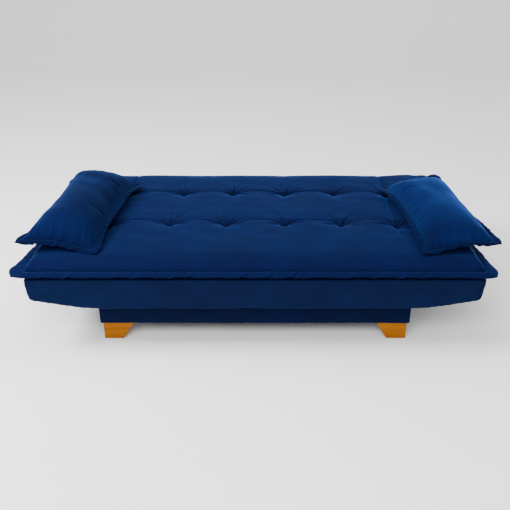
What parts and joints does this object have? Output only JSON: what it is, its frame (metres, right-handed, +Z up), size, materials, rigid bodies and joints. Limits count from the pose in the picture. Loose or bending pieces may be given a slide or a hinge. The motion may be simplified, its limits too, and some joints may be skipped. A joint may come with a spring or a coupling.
{
  "type": "futon sofa bed",
  "caption": "Low sofa bed shown flat: tufted velvet pad on a boat-shaped upholstered frame, base box, tapered wooden feet, ratchet-hinged back and two loose flanged pillows.",
  "frame": {"origin": "on the floor, under the middle of the whole object laid flat as a bed", "axes": "+X along the bed's width, +Y towards the back, +Z up"},
  "size_m": [2.0076, 1.12, 0.514],
  "materials": {
    "velvet": "matte",
    "base_velvet": "matte",
    "foot_wood": "satin",
    "frame_wood": "matte",
    "steel": "satin",
    "black_cloth": "matte",
    "webbing": "matte",
    "glide": "matte",
    "bumper": "matte"
  },
  "bodies": {
    "base": {"foot_front_left": "foot_wood", "foot_front_right": "foot_wood", "foot_rear_left": "foot_wood", "foot_rear_right": "foot_wood", "foot_glides": "glide", "foot_bolts": "steel", "base_front_board": "frame_wood", "base_rear_board": "frame_wood", "base_side_board_left": "frame_wood", "base_side_board_right": "frame_wood", "base_bearers": "frame_wood", "base_corner_blocks": "frame_wood", "base_dust_cover": "black_cloth", "base_cover": "base_velvet", "seat_spacers": "frame_wood", "seat_bolts": "steel", "rest_bumpers": "bumper", "seat_front_rail": "frame_wood", "seat_fold_rail": "frame_wood", "seat_end_rail_left": "frame_wood", "seat_end_rail_right": "frame_wood", "seat_bearers": "frame_wood", "seat_corner_blocks": "frame_wood", "seat_webbing": "webbing", "seat_dust_cover": "black_cloth", "seat_cover": "velvet", "seat_pad": "velvet", "hinge_seat_arm_left": "steel", "hinge_seat_arm_right": "steel", "hinge_pin_left": "steel", "hinge_pin_right": "steel", "pawl_pin_left": "steel", "pawl_pin_right": "steel", "hinge_seat_screws": "steel"},
    "back": {"back_fold_rail": "frame_wood", "back_top_rail": "frame_wood", "back_end_rail_left": "frame_wood", "back_end_rail_right": "frame_wood", "back_bearers": "frame_wood", "back_corner_blocks": "frame_wood", "back_webbing": "webbing", "back_dust_cover": "black_cloth", "back_cover": "velvet", "back_pad": "velvet", "hinge_back_arm_left": "steel", "hinge_back_arm_right": "steel", "hinge_back_screws": "steel"},
    "pawl_left": {"pawl_left": "steel"},
    "pawl_right": {"pawl_right": "steel"},
    "pillow_left": {"pillow_left": "velvet"},
    "pillow_right": {"pillow_right": "velvet"}
  },
  "joints": [
    {"name": "back_fold", "type": "hinge", "parent": "base", "child": "back", "pos_m": [0, -0.095, 0.33], "axis": [1, 0, 0], "range_deg": [0, 75]},
    {"name": "pillow_left_tilt", "type": "hinge", "parent": "base", "child": "pillow_left", "pos_m": [-0.79, -0.47, 0.401], "axis": [1, 0, 0], "range_deg": [0, 54]},
    {"name": "pillow_right_tilt", "type": "hinge", "parent": "base", "child": "pillow_right", "pos_m": [0.79, -0.47, 0.401], "axis": [1, 0, 0], "range_deg": [0, 54]},
    {"name": "pawl_left_swing", "type": "hinge", "parent": "base", "child": "pawl_left", "pos_m": [-0.8965, -0.15, 0.28], "axis": [1, 0, 0], "range_deg": [0, 8], "stiffness_Nm_per_rad": 0.6},
    {"name": "pawl_right_swing", "type": "hinge", "parent": "base", "child": "pawl_right", "pos_m": [0.8965, -0.15, 0.28], "axis": [1, 0, 0], "range_deg": [0, 8], "stiffness_Nm_per_rad": 0.6}
  ],
  "couplings": [
    {"joint": "pillow_left_tilt", "follows": "back_fold", "ratio": 0.72},
    {"joint": "pillow_right_tilt", "follows": "back_fold", "ratio": 0.72}
  ]
}
